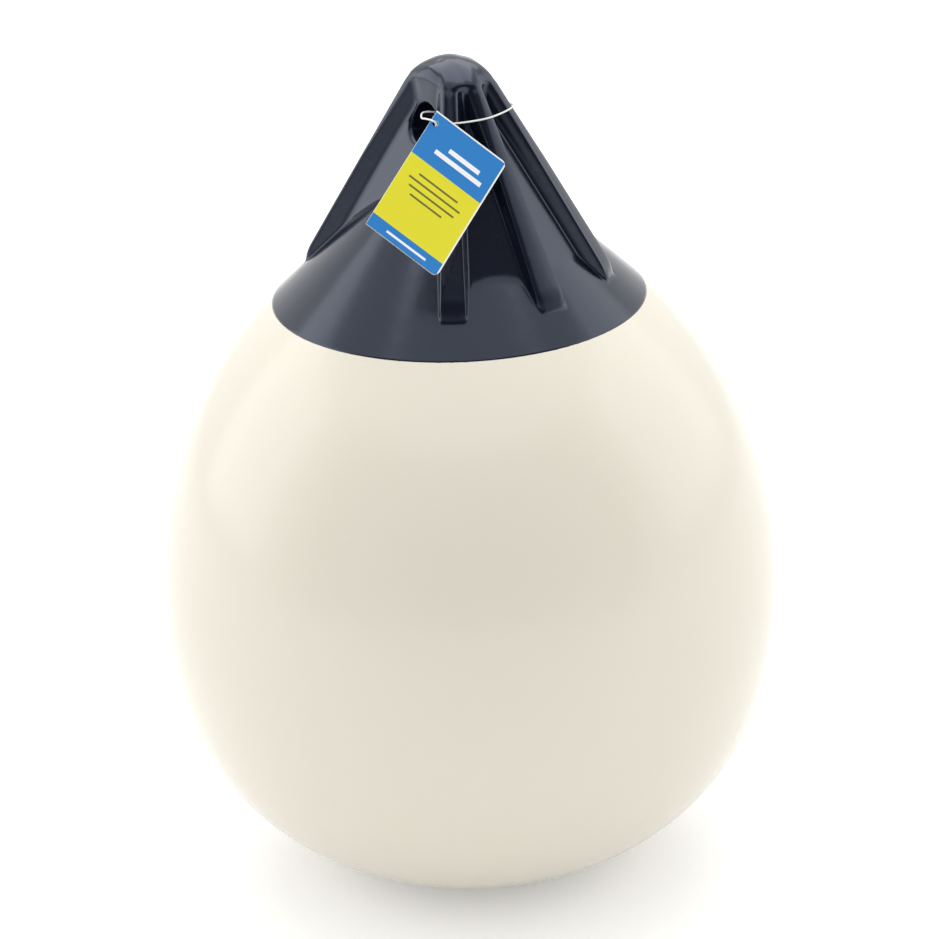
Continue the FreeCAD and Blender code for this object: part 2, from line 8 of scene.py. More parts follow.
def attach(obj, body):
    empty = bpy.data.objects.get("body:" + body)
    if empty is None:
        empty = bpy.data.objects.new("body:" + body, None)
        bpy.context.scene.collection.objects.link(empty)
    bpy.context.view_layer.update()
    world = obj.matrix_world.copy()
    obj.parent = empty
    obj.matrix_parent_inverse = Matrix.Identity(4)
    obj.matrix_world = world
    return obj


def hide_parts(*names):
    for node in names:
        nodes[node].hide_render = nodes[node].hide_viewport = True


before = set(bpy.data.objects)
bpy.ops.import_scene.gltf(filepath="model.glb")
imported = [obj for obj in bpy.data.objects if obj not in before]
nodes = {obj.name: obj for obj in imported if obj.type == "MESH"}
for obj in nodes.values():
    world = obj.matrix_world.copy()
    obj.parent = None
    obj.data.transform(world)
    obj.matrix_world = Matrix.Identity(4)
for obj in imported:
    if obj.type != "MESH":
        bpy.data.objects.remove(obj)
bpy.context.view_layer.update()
mm = 0.001
print("frame loaded:", len(nodes), "nodes")


# Small helpers for objects, meshes and materials

def addObject(name, data):
    piece = bpy.data.objects.new(name, data)
    bpy.context.scene.collection.objects.link(piece)
    return piece


def gridFaces(numbers, closed=True):
    # quads between neighbouring rows of a grid of vertex numbers, whose rows may close into rings
    after = np.roll(numbers, -1, 1)
    quads = np.stack([numbers[:-1], numbers[1:], after[1:], after[:-1]], -1)
    return (quads if closed else quads[:, :-1]).reshape(-1, 4)


def fanFaces(tip, ring, turned=False):
    # triangles from one vertex to a closed ring of them, turned over where asked
    fan = np.stack([np.full(len(ring), tip), ring, np.roll(ring, -1)], -1)
    return fan[:, [0, 2, 1]] if turned else fan


def blockEdge(rowLow, rowHigh, left, right, columns, closed=True):
    # vertex numbers round the edge of a block of a grid, and the numbers of the block's quads
    rows = np.arange(rowLow, rowHigh + 1)
    across = np.arange(left, right + 1)
    loop = np.concatenate([rowLow * columns + across[:-1], rows[:-1] * columns + right,
                           rowHigh * columns + across[:0:-1], rows[:0:-1] * columns + left])
    rowLength = columns if closed else columns - 1
    return loop, (rows[:-1, None] * rowLength + across[:-1]).ravel()


def newMesh(name, points, groups, smooth=True):
    # points in millimetres and groups of faces, without the points that no face uses
    used = np.unique(np.concatenate([group.ravel() for group in groups]))
    number = np.full(len(points), -1)
    number[used] = np.arange(len(used))
    faces = [face for group in groups for face in number[group].tolist()]
    mesh = bpy.data.meshes.new(name)
    mesh.from_pydata((points[used] * mm).tolist(), [], faces)
    mesh.validate()
    mesh.polygons.foreach_set("use_smooth", np.full(len(mesh.polygons), smooth))
    mesh.update()
    return mesh


def hexColor(code):
    # sRGB hex to linear, opaque
    parts = [int(code[i:i + 2], 16) / 255 for i in (0, 2, 4)]
    linear = [c / 12.92 if c <= 0.04045 else ((c + 0.055) / 1.055) ** 2.4 for c in parts]
    return (*linear, 1.0)


def newMaterial(name):
    material = bpy.data.materials.new(name)
    material.use_nodes = True
    material.node_tree.nodes.clear()
    return material, material.node_tree


def addNode(tree, kind, settings=(), inputs=(), links=()):
    # settings are the node's properties, inputs the values of its sockets,
    # and each link is its socket, the source node and the source's socket
    node = tree.nodes.new("ShaderNode" + kind)
    for key, value in dict(settings).items():
        setattr(node, key, value)
    for key, value in dict(inputs).items():
        node.inputs[key].default_value = value
    for key, source, output in links:
        tree.links.new(source.outputs[output], node.inputs[key])
    return node


# Camera

camera = {
    "azimuth": 54.9,         # degrees, from the eye's front towards the three ribs of +X
    "elevation": 23.6,
    "distance": 3.0,
    "standHeight": 0.228,    # where on the axis azimuth, elevation and distance are measured from
    "aimHeight": 0.287,
    "aimRight": 0.0023,
    "roll": 2.25,
    "lens": 164.5,
    "sensor": 36.0,
    "farthest": 30.0,
}


def placeCamera():
    turn, rise = radians(camera["azimuth"]), radians(camera["elevation"])
    back = Vector((sin(turn) * cos(rise), -cos(turn) * cos(rise), sin(rise)))
    right = Vector((cos(turn), sin(turn), 0))
    spot = Vector((0, 0, camera["standHeight"])) + back * camera["distance"]
    aim = Vector((0, 0, camera["aimHeight"])) + right * camera["aimRight"]
    look = (aim - spot).normalized()
    side = look.cross(Vector((0, 0, 1))).normalized()
    facing = Matrix((side, side.cross(look), -look)).transposed()
    facing = facing @ Matrix.Rotation(radians(-camera["roll"]), 3, "Z")
    data = bpy.data.cameras.new("camera")
    data.lens = camera["lens"]
    data.sensor_width = camera["sensor"]
    data.clip_end = camera["farthest"]
    holder = addObject("camera", data)
    holder.matrix_world = Matrix.Translation(spot) @ facing.to_4x4()
    bpy.context.scene.camera = holder


placeCamera()
print("camera placed")


# Head: navy vinyl moulding with a skirt, a crown, six ribs and the rope eye

head = {
    "top": 585.3,
    "domeRadius": 38.4,
    "ribSlope": 30.8,               # degrees that the ribs' faces lean from the vertical
    "ribEnd": 108.0,
    "ribTurns": (0.0, 37.6),        # degrees off +X and -X, mirrored
    "midHalf": (5.8, 10.6, 1.6),    # half width at the top and at the end, and how late it widens
    "sideHalf": (5.8, 8.8, 1.3),
    "widestAt": 1.2,                # the way to its end, as a share, at which a rib stops widening
    "ribDraft": 12.0,
    "ribEdge": 1.7,
    "crownEdge": 3.6,               # what the ribs' edges gain in roundness at the crown
    "crownFade": 30.0,              # and over how far that fades
    "ribFoot": 2.4,
    "ribEndEdge": 5.5,
    "channelDepth": 11.0,
    "channelRunout": 20.0,
    "channelStart": 10.0,           # how far down the cone the arc of their upper end reaches
    "panelHalf": 20.7,
    "panelKnee": 555.0,
    "panelDraft": 20.8,
    "panelKneeBlend": 2.1,
    "panelEdge": 6.0,
    "skirtApex": 539.5,
    "skirtSlope": 44.0,             # degrees below level
    "skirtBlend": 0.8,
    "ringRadius": 127.8,
    "skirtWall": 5.0,
    "crownUnderside": 84.0,
    "eyeHeight": 544.0,
    "eyeRadius": 13.0,
    "eyeLip": 2.8,
    "eyeMargin": 1.5,               # from the lip to the block of cells that the eye opens in
    "domeRows": 34,
    "ribRows": 116,
    "skirtRows": 18,
    "undersideRows": 12,
    "columns": (5, 20, 6, 20, 5, 24, 20),    # of a quarter, between the marks in headTurns
    "packing": (0.8, 0.9, 1.4),     # shares of a rib's edge, of its foot and of its foot on the web
    "leastGap": 1.0,                # degrees between the feet of two ribs
    "eyeRings": 7,
    "lipRings": 7,
    "boreRings": 10,
    "search": 220.0,                # length of the lines along which the outside is looked for
    "panelSearch": (5.0, 60.0),     # start off the middle plane, and length, of those for a panel
}


def softMax(a, b, blend):
    # the greater of two distances, with their crease rounded over a width of blend
    reach = np.maximum(blend - np.abs(a - b), 0)
    return np.maximum(a, b) + reach ** 2 / (4 * blend)


def softMin(a, b, blend):
    return -softMax(-a, -b, blend)


def ribHalf(kind, radius):
    # half width of a rib, which widens as a power of the way from the crown to its end
    low, high, late = head[kind]
    way = (radius - head["domeRadius"]) / (head["ribEnd"] - head["domeRadius"])
    return low + (high - low) * np.clip(way, 0, head["widestAt"]) ** late


def panelHalf(height):
    # half thickness of the web: straight above the knee, leaning apart below it
    lean = tan(radians(head["panelDraft"])) * (head["panelKnee"] - height)
    return head["panelHalf"] + softMax(lean, np.zeros_like(lean), head["panelKneeBlend"])


def headDistance(x, y, z):
    # about how far a point lies outside the head, in millimetres: below zero inside
    slope = radians(head["ribSlope"])
    domeHeight = z - (head["top"] - head["domeRadius"])
    radius = np.hypot(x, y)
    # envelope: a dome, and below it the cone of the ribs' faces, which touches it all round
    above = np.arctan2(domeHeight, radius) > slope
    envelope = np.where(above, np.hypot(radius, domeHeight),
                        radius * cos(slope) + domeHeight * sin(slope)) - head["domeRadius"]
    # floor of the channels: a plane between two ribs, set into their cone,
    # which rises out of it in an arc at its upper end
    depth, runout = head["channelDepth"], head["channelRunout"]
    side = radians(head["ribTurns"][1])
    between = np.arctan2(np.abs(y), np.abs(x)) < side
    facing = np.where(between, np.abs(x) * cos(side / 2) + np.abs(y) * sin(side / 2), radius)
    off = facing * cos(slope) + domeHeight * sin(slope)
    down = radius * sin(slope) - domeHeight * cos(slope) - head["channelStart"]
    arc = runout - np.hypot(off - head["domeRadius"] + depth - runout, down)
    channelFloor = np.where(down > 0, off - head["domeRadius"] + depth,
                            softMax(envelope, arc, head["ribFoot"]))
    # web: two panels square to the eye
    lean = cos(radians(head["panelDraft"]))
    upper = softMax(channelFloor, (np.abs(y) - panelHalf(z)) * lean, head["panelEdge"])
    # ribs: walls with draft about each rib's own plane, topped by the envelope
    draft = radians(head["ribDraft"])
    fade = 1 - (radius - head["domeRadius"] * cos(slope)) / head["crownFade"]
    edge = head["ribEdge"] + head["crownEdge"] * np.clip(fade, 0, 1)
    for turn, kind in zip(head["ribTurns"], ("midHalf", "sideHalf")):
        c, s = cos(radians(turn)), sin(radians(turn))
        across = np.abs(np.abs(y) * c - np.abs(x) * s)
        along = np.abs(x) * c + np.abs(y) * s
        walls = (across - ribHalf(kind, radius) + envelope * tan(draft)) * cos(draft)
        rib = softMax(envelope, walls, edge)
        rib = softMax(rib, along - head["ribEnd"], head["ribEndEdge"])
        upper = softMin(upper, rib, head["ribFoot"])
    # skirt: a cone
    skirt = radians(head["skirtSlope"])
    cone = radius * sin(skirt) + (z - head["skirtApex"]) * cos(skirt)
    return softMin(upper, cone, head["skirtBlend"])


def solveAlong(start, heading, far, steps=36):
    # halves the stretch of each line, from start along heading, until it holds the head's surface
    low, high = np.zeros(start.shape[:-1]), np.full(start.shape[:-1], far)
    for _ in range(steps):
        middle = (low + high) / 2
        spots = start + heading * middle[..., None]
        inside = headDistance(*np.moveaxis(spots, -1, 0)) < 0
        low, high = np.where(inside, middle, low), np.where(inside, high, middle)
    return start + heading * ((low + high) / 2)[..., None]


def headRows():
    # for each row of the outside: the radius and height that it aims at, and the upward tilt
    # of its lines; round the dome, down the ribs' cone, and easing off it onto the skirt
    slope, skirt = radians(head["ribSlope"]), radians(head["skirtSlope"])
    centre = head["top"] - head["domeRadius"]
    tilt = np.linspace(pi / 2, slope, head["domeRows"] + 1)[1:]
    dome = np.c_[head["domeRadius"] * np.cos(tilt),
                 centre + head["domeRadius"] * np.sin(tilt), tilt]
    reach = (head["ribEnd"] - dome[-1, 0]) / sin(slope)
    along = np.linspace(0, reach, head["ribRows"] + 1)[1:, None]
    ribs = np.c_[dome[-1, :2] + along * (sin(slope), -cos(slope)), np.full(len(along), slope)]
    radius = np.linspace(head["ribEnd"], head["ringRadius"], head["skirtRows"] + 1)[1:]
    way = (radius - head["ribEnd"]) / (head["ringRadius"] - head["ribEnd"])
    tilt = slope + (pi / 2 - skirt - slope) * way
    lowEnd = np.c_[radius, head["skirtApex"] - radius * tan(skirt), tilt]
    stepUp = ribs[-1, 1] - (head["skirtApex"] - head["ribEnd"] * tan(skirt))
    lowEnd[:, 1] += stepUp * (1 - way) ** 2
    return np.r_[dome, ribs, lowEnd]


def headTurns(rows):
    # azimuths of the columns in each row, packed at the ribs' edges, walls and feet
    slope = radians(head["ribSlope"])
    radius = np.maximum(rows[:, 0], head["domeRadius"] * cos(slope))
    floorRadius = radius - head["channelDepth"] * cos(slope)
    wall = head["channelDepth"] * tan(radians(head["ribDraft"]))
    side = radians(head["ribTurns"][1])

    def at(half, rim):
        return np.arcsin(np.clip(half / rim, -1, 1))

    mid, flank = ribHalf("midHalf", radius), ribHalf("sideHalf", radius)
    edgeShare, footShare, webShare = head["packing"]
    edge, foot = head["ribEdge"] * edgeShare, head["ribFoot"] * footShare
    marks = [np.zeros_like(radius), at(mid - edge, radius), at(mid + wall + foot, floorRadius),
             side - at(flank + wall + foot, floorRadius), side - at(flank - edge, radius),
             side + at(flank - edge, radius),
             side + at(flank + wall + webShare * foot, floorRadius), np.full_like(radius, pi / 2)]
    # where the feet of two ribs meet, both marks move to the middle, but the last stays at +Y
    last = len(marks) - 1
    for low, high in ((2, 3), (last - 1, last)):
        gap = np.minimum(marks[high] - marks[low] - radians(head["leastGap"]), 0) / 2
        marks[low] = marks[low] + gap
        if high < last:
            marks[high] = marks[high] - gap
    quarter = [marks[0][:, None]]
    for low, high, count in zip(marks, marks[1:], head["columns"]):
        way = np.linspace(0, 1, count + 1)[1:]
        quarter.append(low[:, None] + (high - low)[:, None] * way)
    quarter = np.concatenate(quarter, 1)
    # the quarter is mirrored at +Y and then at -X: every column once
    half = np.concatenate([quarter, pi - quarter[:, -2::-1]], 1)
    return np.concatenate([half, half[:, 1:-1] + pi], 1)


def headSurfaces(rows, turns):
    # outside: where a line from the axis, turned as its column and tilted as its row, meets the
    # head; underside: in through the skirt's wall, and an arc up to the axis, turned about it
    tilt = rows[:, 2:3]
    heading = np.stack([np.cos(turns) * np.cos(tilt), np.sin(turns) * np.cos(tilt),
                        np.broadcast_to(np.sin(tilt), turns.shape)], -1)
    start = np.zeros_like(heading)
    start[..., 2] = (rows[:, 1] - rows[:, 0] * np.tan(rows[:, 2]))[:, None]
    outside = solveAlong(start, heading, head["search"])
    skirt = radians(head["skirtSlope"])
    wallRadius = head["ringRadius"] - head["skirtWall"] * sin(skirt)
    wallHeight = outside[-1, 0, 2] - head["skirtWall"] * cos(skirt)
    crown = head["crownUnderside"]
    crownMiddle = head["skirtApex"] - (head["skirtWall"] + crown) / cos(skirt)
    lean = np.linspace(skirt, 0, head["undersideRows"])[:-1]
    profile = np.r_[[[wallRadius, wallHeight]],
                    np.c_[crown * np.sin(lean), crownMiddle + crown * np.cos(lean)]]
    aim = np.stack([np.cos(turns[-1]), np.sin(turns[-1])], -1)
    height = np.broadcast_to(profile[:, None, 1:], (len(profile), len(aim), 1))
    under = np.concatenate([profile[:, None, :1] * aim, height], -1)
    # both poles: the crown's top and the underside's
    crownTop = solveAlong(np.array([0, 0, head["top"] - head["domeRadius"]]),
                          np.array([0, 0, 1.0]), head["search"])
    return outside, under, np.array([crownTop, [0, 0, crownMiddle + crown]])


def eyeBlocks(points, height, columns):
    # the edges of the two blocks of cells that the eye opens in, both the same way round as seen
    # from the front and started at the same angle, and the numbers of the cells
    middle = head["eyeHeight"]
    reach = head["eyeRadius"] + head["eyeLip"] + head["eyeMargin"]
    rowLow, rowHigh = (int(np.argmin(np.abs(height - middle - way * reach))) for way in (1, -1))
    blockHalf = head["columns"][-1] - 1
    loops, cells = [], []
    for front in (True, False):
        axis = columns // 4 * (3 if front else 1)
        loop, covered = blockEdge(rowLow, rowHigh, axis - blockHalf, axis + blockHalf, columns)
        loops.append(loop if front else loop[::-1])
        cells.append(covered)
    frontTurn, backTurn = (np.arctan2(points[loop, 2] - middle, points[loop, 0]) for loop in loops)
    shift = int(np.argmin(np.abs(np.exp(1j * backTurn) - np.exp(1j * frontTurn[0]))))
    loops[1] = np.roll(loops[1], -shift)
    return loops, np.concatenate(cells)


def eyeSleeve(points, loops):
    # rings from one block's edge to the other's: in over the panel to the lip, a quarter round
    # that sinks from the panel into the bore, straight through, and out the same way
    lip, bore, middle = head["eyeLip"], head["eyeRadius"], head["eyeHeight"]
    near, far = head["panelSearch"]
    bend = np.linspace(pi / 2, 0, head["lipRings"] + 1)[1:]
    sink = np.concatenate([np.zeros(head["eyeRings"]), lip - lip * np.sin(bend)])
    ways = np.linspace(0, 1, head["eyeRings"] + 1)[1:, None, None]
    sides = []
    for loop, side in zip(loops, (-1, 1)):
        flat = points[loop][:, [0, 2]]
        turn = np.arctan2(flat[:, 1] - middle, flat[:, 0])
        aim = np.stack([np.cos(turn), np.sin(turn)], -1)
        rim = aim * (bore + lip) + (0, middle)
        lipRound = aim * (bore + lip - lip * np.cos(bend))[:, None, None] + (0, middle)
        level = np.concatenate([flat + (rim - flat) * ways, lipRound])
        start = np.stack([level[..., 0], np.full(level.shape[:2], side * near), level[..., 1]], -1)
        surface = solveAlong(start, np.array([0, side, 0.0]), far)
        surface[..., 1] -= side * sink[:, None]
        sides.append(surface)
    front, back = sides
    ways = np.linspace(0, 1, head["boreRings"] + 1)[1:-1, None, None]
    rings = np.concatenate([front, front[-1] + (back[-1] - front[-1]) * ways, back[::-1]])
    numbers = np.arange(rings.size // 3).reshape(rings.shape[:2]) + len(points)
    return rings.reshape(-1, 3), gridFaces(np.concatenate([[loops[0]], numbers, [loops[1]]]))


def headMesh():
    rows = headRows()
    turns = headTurns(rows)
    outside, under, poles = headSurfaces(rows, turns)
    grid = np.concatenate([outside, under])
    columns = turns.shape[1]
    numbers = np.arange(grid.size // 3).reshape(-1, columns)
    topTip, lowTip = numbers.size, numbers.size + 1
    points = np.concatenate([grid.reshape(-1, 3), poles])
    loops, cells = eyeBlocks(points, outside[:, columns // 4, 2], columns)
    rings, sleeve = eyeSleeve(points, loops)
    return newMesh("headMoulding", np.concatenate([points, rings]), [
        np.delete(gridFaces(numbers), cells, 0), sleeve,
        fanFaces(topTip, numbers[0]), fanFaces(lowTip, numbers[-1], turned=True)])


def navyVinyl():
    # solid navy PVC, moulded hot in a polished mould: dark, with soft wide reflections,
    # ripples about 11 mm wide (scale 90) and a haze that changes over 45 mm (scale 22)
    material, tree = newMaterial("mouldedNavyVinyl")
    place = addNode(tree, "TexCoord")
    ripple = addNode(tree, "TexNoise", inputs={"Scale": 90.0, "Detail": 3.0, "Roughness": 0.5},
                     links=[("Vector", place, "Object")])
    bump = addNode(tree, "Bump", inputs={"Strength": 0.08, "Distance": 0.001},
                   links=[("Height", ripple, "Fac")])
    haze = addNode(tree, "TexNoise", inputs={"Scale": 22.0, "Detail": 4.0},
                   links=[("Vector", place, "Object")])
    rough = addNode(tree, "MapRange", inputs={"To Min": 0.15, "To Max": 0.20},
                    links=[("Value", haze, "Fac")])
    body = addNode(tree, "BsdfPrincipled", inputs={
        "Base Color": hexColor("0f1220"), "IOR": 1.53, "Specular IOR Level": 0.7,
        "Specular Tint": (0.70, 0.80, 1.0, 1.0)},
        links=[("Normal", bump, "Normal"), ("Roughness", rough, "Result")])
    addNode(tree, "OutputMaterial", links=[(0, body, 0)])
    return material


def makeHead():
    mesh = headMesh()
    mesh.materials.append(navyVinyl())
    piece = addObject("headMoulding", mesh)
    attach(piece, "root")
    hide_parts("rope_eye_head")
    print("head moulded:", len(mesh.polygons), "faces")


makeHead()


# Float: white inflated vinyl skin

def whiteVinyl():
    # white PVC, rotation-moulded against polished steel: glossy, faintly ivory, with very
    # shallow waves 70 mm wide (scale 14) and a tint that changes over 200 mm (scale 5)
    material, tree = newMaterial("mouldedWhiteVinyl")
    place = addNode(tree, "TexCoord")
    waves = addNode(tree, "TexNoise", inputs={"Scale": 14.0, "Detail": 2.0},
                    links=[("Vector", place, "Object")])
    bump = addNode(tree, "Bump", inputs={"Strength": 0.12, "Distance": 0.002},
                   links=[("Height", waves, "Fac")])
    cloud = addNode(tree, "TexNoise", inputs={"Scale": 5.0, "Detail": 3.0},
                    links=[("Vector", place, "Object")])
    tint = addNode(tree, "Mix", {"data_type": "RGBA"},
                   {"A": hexColor("e5dfcf"), "B": hexColor("e9e3d4")}, [("Factor", cloud, "Fac")])
    body = addNode(tree, "BsdfPrincipled", inputs={"Roughness": 0.2, "IOR": 1.5},
                   links=[("Normal", bump, "Normal"), ("Base Color", tint, "Result")])
    addNode(tree, "OutputMaterial", links=[(0, body, 0)])
    return material


def finishNode(name, material):
    slots = nodes[name].data.materials
    slots.clear()
    slots.append(material)


finishNode("float_body", whiteVinyl())
print("float finished")


# Valve: moulded bush, rubber ring and slotted screw, on the side away from the card

valve = {    # material, colour, roughness, and the grain's scale: 1.1 mm wide, 0.7 mm on the rubber
    "valve_seat": ("mouldedBlackNylon", "202227", 0.42, 900.0),
    "valve_seal_ring": ("sealRubber", "161616", 0.7, 1500.0),
    "valve_screw": ("mouldedWhiteNylon", "dcdcd6", 0.38, 900.0),
}


def plainPlastic(name, color, roughness, grain):
    # injection-moulded trim: matt, with the spark-eroded grain of its mould, drawn a few times
    # as coarse as it is, because the real one is too fine to show
    material, tree = newMaterial(name)
    place = addNode(tree, "TexCoord")
    noise = addNode(tree, "TexNoise", inputs={"Scale": grain, "Detail": 2.0},
                    links=[("Vector", place, "Object")])
    bump = addNode(tree, "Bump", inputs={"Strength": 0.2, "Distance": 0.0002},
                   links=[("Height", noise, "Fac")])
    body = addNode(tree, "BsdfPrincipled",
                   inputs={"Base Color": hexColor(color), "Roughness": roughness},
                   links=[("Normal", bump, "Normal")])
    addNode(tree, "OutputMaterial", links=[(0, body, 0)])
    return material


for node, finish in valve.items():
    finishNode(node, plainPlastic(*finish))
print("valve finished")


# Card: folded, coated and printed in plain fields of colour

card = {
    "turn": -5.5,               # degrees that its face turns off +X
    "tilt": 30.8,               # and looks up, as the ribs' faces do
    "roll": -49.9,
    "across": -50.1,            # of its middle, along the ribs' faces from where the dome ends
    "down": 58.1,
    "gap": 0.1,                 # off the ribs' faces
    "width": 58.5,
    "height": 97.5,
    "thickness": 0.3,
    "foldRadius": 0.25,         # of the middle of the sheet
    "opening": 0.9,             # more between the leaves at the free edge than at the fold
    "bow": 0.5,                 # how far the front leaf's free corners lift
    "corner": 3.8,
    "holeRadius": 2.2,
    "holeAcross": 3.6,          # from the fold
    "holeDown": 8.4,            # from the top
    "holeBlock": 3.0,           # half a side of the square of cells that the hole is cut in
    "blockCells": 8,
    "holeRings": 3,
    "acrossCells": (2, 21),     # before and after that square
    "upCells": (33, 3),
    "bendCells": 8,             # of the fold and of a round corner
    "varnish": 0.32,            # roughness
    "margin": "f6f6f2",
    "inside": "f1f1ec",
    "fields": [                 # left, right, low and high edge and colour, each over those before
        (-29.4, 28.2, -48.8, 47.7, "1c7cc6"), (-29.4, 28.2, -39.0, 13.2, "e4dc22"),
        (-8.0, 17.0, 28.8, 32.2, "f2f4f4"), (-16.0, 22.0, 22.3, 25.7, "f2f4f4"),
        (-17.0, 15.0, 2.75, 4.25, "6a6c2c"), (-22.0, 20.0, -2.55, -1.05, "6a6c2c"),
        (-19.0, 18.0, -7.85, -6.35, "6a6c2c"), (-15.0, 11.0, -13.15, -11.65, "6a6c2c"),
        (-15.0, 17.0, -45.05, -43.35, "f2f4f4")],
}


def cardAxes():
    # the card's centre, its two edges' directions and its face's, from where it lies on the ribs
    turn, tilt, roll = (radians(card[key]) for key in ("turn", "tilt", "roll"))
    across = np.array([-sin(turn), cos(turn), 0])
    up = np.array([-cos(turn) * sin(tilt), -sin(turn) * sin(tilt), cos(tilt)])
    out = np.array([cos(turn) * cos(tilt), sin(turn) * cos(tilt), sin(tilt)])
    centre = np.array([0, 0, head["top"] - head["domeRadius"]]) \
        + out * (head["domeRadius"] + card["gap"]) - up * card["down"] + across * card["across"]
    return centre, across * cos(roll) + up * sin(roll), up * cos(roll) - across * sin(roll), out


def evenly(marks, counts):
    # positions from the first mark to the last, with so many cells between each two
    parts = [np.linspace(low, high, count + 1)[1:]
             for low, high, count in zip(marks, marks[1:], counts)]
    return np.concatenate([marks[:1], *parts])


def leafHeight(across, up, front):
    # how far the middle of a leaf lies off the card's back: level, or opening evenly from the
    # fold, with its free corners lifted
    back = card["thickness"] / 2
    way = (across + card["width"] / 2) / card["width"]
    lift = card["opening"] * way + card["bow"] * way ** 2 * (up / card["height"] * 2) ** 2
    return np.where(front, back + 2 * card["foldRadius"] + lift, back)


def cardMesh():
    # the middle of one sheet: across from the back leaf's free edge to the fold, half a turn, and
    # out along the front leaf; up, straight lines as long as the card is high, shorter where the
    # free corners are round; in each leaf, rings from a square block's edge to the round hole
    half, tall = card["width"] / 2, card["height"] / 2
    back, fold, corner = card["thickness"] / 2, card["foldRadius"], card["corner"]
    holeU, holeV, block = card["holeAcross"] - half, tall - card["holeDown"], card["holeBlock"]
    cells, bends = card["blockCells"], card["bendCells"]
    foldU = back + fold - half
    before, after = card["acrossCells"]
    leaf = evenly([foldU, holeU - block, holeU + block, half - corner], [before, cells, after])
    leaf = np.r_[leaf, half - corner + corner * np.sin(np.linspace(0, pi / 2, bends + 1))[1:]]
    below, above = card["upCells"]
    high = evenly([-tall, holeV - block, holeV + block, tall], [below, cells, above])
    bend = np.linspace(0, pi, bends + 1)[1:-1]
    u = np.r_[leaf[::-1], foldU - fold * np.sin(bend), leaf]
    inCorner = np.maximum(u - half + corner, 0)
    limit = tall - corner + np.sqrt(np.maximum(corner ** 2 - inCorner ** 2, 0))
    v = high[:, None] * limit / tall
    u = np.broadcast_to(u, v.shape)
    count, columns = len(leaf), u.shape[1]
    w = leafHeight(u, v, True)
    w[:, :count] = leafHeight(u[:, :count], v[:, :count], False)
    w[:, count:-count] = back + fold - fold * np.cos(bend)
    points = np.stack([u, v, w], -1).reshape(-1, 3)
    sheet = gridFaces(np.arange(len(points)).reshape(-1, columns), closed=False)
    groups, covered = [], []
    row = int(np.argmin(np.abs(high - holeV + block)))
    low = int(np.argmin(np.abs(leaf - holeU + block)))
    for front, left in ((False, count - 1 - low - cells), (True, columns - count + low)):
        loop, under = blockEdge(row, row + cells, left, left + cells, columns, closed=False)
        covered.append(under)
        edge = points[loop, :2]
        turn = np.arctan2(edge[:, 1] - holeV, edge[:, 0] - holeU)
        rim = np.stack([holeU + card["holeRadius"] * np.cos(turn),
                        holeV + card["holeRadius"] * np.sin(turn)], -1)
        rings = edge + (rim - edge) * np.linspace(0, 1, card["holeRings"] + 1)[1:, None, None]
        rings = np.concatenate([rings, leafHeight(rings[..., :1], rings[..., 1:], front)], -1)
        numbers = np.arange(rings.size // 3).reshape(-1, len(loop)) + len(points)
        groups.append(gridFaces(np.concatenate([[loop], numbers])))
        points = np.concatenate([points, rings.reshape(-1, 3)])
    sheet = np.delete(sheet, np.concatenate(covered), 0)
    centre, wide, upright, out = cardAxes()
    return newMesh("swingCard", centre + points @ np.array([wide, upright, out]),
                   [sheet] + groups, smooth=False)


def fieldMask(tree, u, v, edges):
    # 1 inside a rectangle, else 0: the product of one test for each edge
    left, right, low, high = edges
    mask = None
    for source, operation, edge in ((u, "GREATER_THAN", left), (u, "LESS_THAN", right),
                                    (v, "GREATER_THAN", low), (v, "LESS_THAN", high)):
        test = addNode(tree, "Math", {"operation": operation}, {1: edge}, [(0, source, "Value")])
        if mask is not None:
            test = addNode(tree, "Math", {"operation": "MULTIPLY"},
                           links=[(0, mask, 0), (1, test, 0)])
        mask = test
    return mask


def printedCard():
    # coated card, offset printed: flat inks under a light varnish, white where it isn't printed
    material, tree = newMaterial("coatedPrintedCard")
    place = addNode(tree, "TexCoord")
    centre, wide, upright, out = cardAxes()
    moved = addNode(tree, "VectorMath", {"operation": "SUBTRACT"}, {1: tuple(centre * mm)},
                    [(0, place, "Object")])
    u, v, w = (addNode(tree, "VectorMath", {"operation": "DOT_PRODUCT"}, {1: tuple(way / mm)},
                       [(0, moved, 0)]) for way in (wide, upright, out))
    ink = None
    for *edges, color in card["fields"]:
        ground = [("A", ink, "Result")] if ink is not None else []
        ink = addNode(tree, "Mix", {"data_type": "RGBA"},
                      {"A": hexColor(card["margin"]), "B": hexColor(color)},
                      [("Factor", fieldMask(tree, u, v, edges), 0)] + ground)
    # only the front face is printed, which lies above a plane that opens as the leaf does
    risen = addNode(tree, "Math", {"operation": "MULTIPLY_ADD"},
                    {1: -card["opening"] / card["width"]}, [(0, u, "Value"), (2, w, "Value")])
    front = card["thickness"] / 2 + 2 * card["foldRadius"] + card["opening"] / 2
    face = addNode(tree, "Math", {"operation": "GREATER_THAN"}, {1: front}, [(0, risen, 0)])
    shown = addNode(tree, "Mix", {"data_type": "RGBA"}, {"A": hexColor(card["inside"])},
                    [("Factor", face, 0), ("B", ink, "Result")])
    body = addNode(tree, "BsdfPrincipled", inputs={"Roughness": card["varnish"]},
                   links=[("Base Color", shown, "Result")])
    addNode(tree, "OutputMaterial", links=[(0, body, 0)])
    return material


def makeCard():
    piece = addObject("swingCard", cardMesh())
    solid = piece.modifiers.new("cardStock", "SOLIDIFY")
    solid.thickness = card["thickness"] * mm
    solid.offset = 0
    piece.data.materials.append(printedCard())
    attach(piece, "root")
    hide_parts("tag_card")


makeCard()
print("card printed")


# String: a thin white cord through the eye, round the card's fold and over the three ribs

